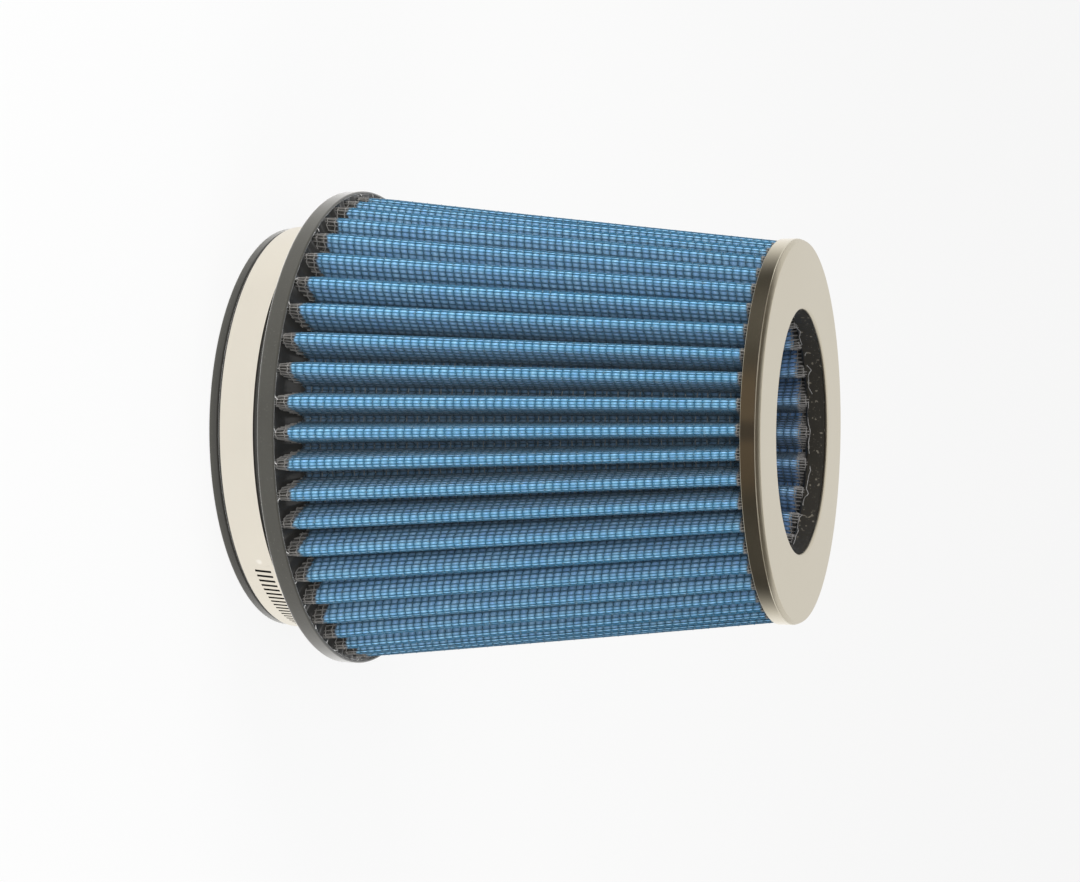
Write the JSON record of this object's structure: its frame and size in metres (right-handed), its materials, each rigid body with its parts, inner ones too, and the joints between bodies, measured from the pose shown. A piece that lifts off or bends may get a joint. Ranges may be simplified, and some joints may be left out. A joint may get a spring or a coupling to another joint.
{
  "type": "cone air filter",
  "caption": "Pleated cone air filter with a moulded flange and neck, a metal top ring, an inverted cone in its top and a worm-drive hose clamp.",
  "frame": {"origin": "centre of the neck's mouth, which is the part's lowest face", "axes": "+Z from the neck's mouth along the filter's axis to the top ring; the clamp's screw housing lies towards +Y and +X"},
  "size_m": [0.1778, 0.1778, 0.1978],
  "materials": {
    "urethane": "matte",
    "urethane_black": "matte",
    "coated_wire": "satin",
    "gauze": "oiled cotton",
    "wire": "satin",
    "polished_ring": "satin face, polished side",
    "clamp_steel": "bright",
    "screw_steel": "plated"
  },
  "bodies": {
    "filter": {"base": "urethane", "outer_screen": "coated_wire", "outer_gauze": "gauze", "outer_backing": "wire", "top_moulding": "urethane_black", "top_ring": "polished_ring", "cone_screen": "coated_wire", "cone_gauze": "gauze", "cone_backing": "wire", "cone_plug": "urethane_black", "clamp_band": "clamp_steel", "clamp_housing": "clamp_steel"},
    "screw": {"clamp_screw": "screw_steel"}
  },
  "joints": [
    {"name": "clamp_screw_turn", "type": "hinge", "parent": "filter", "child": "screw", "pos_m": [0.05219, 0.0622, 0.01105], "axis": [-0.766, 0.6428, 0], "continuous": true}
  ]
}
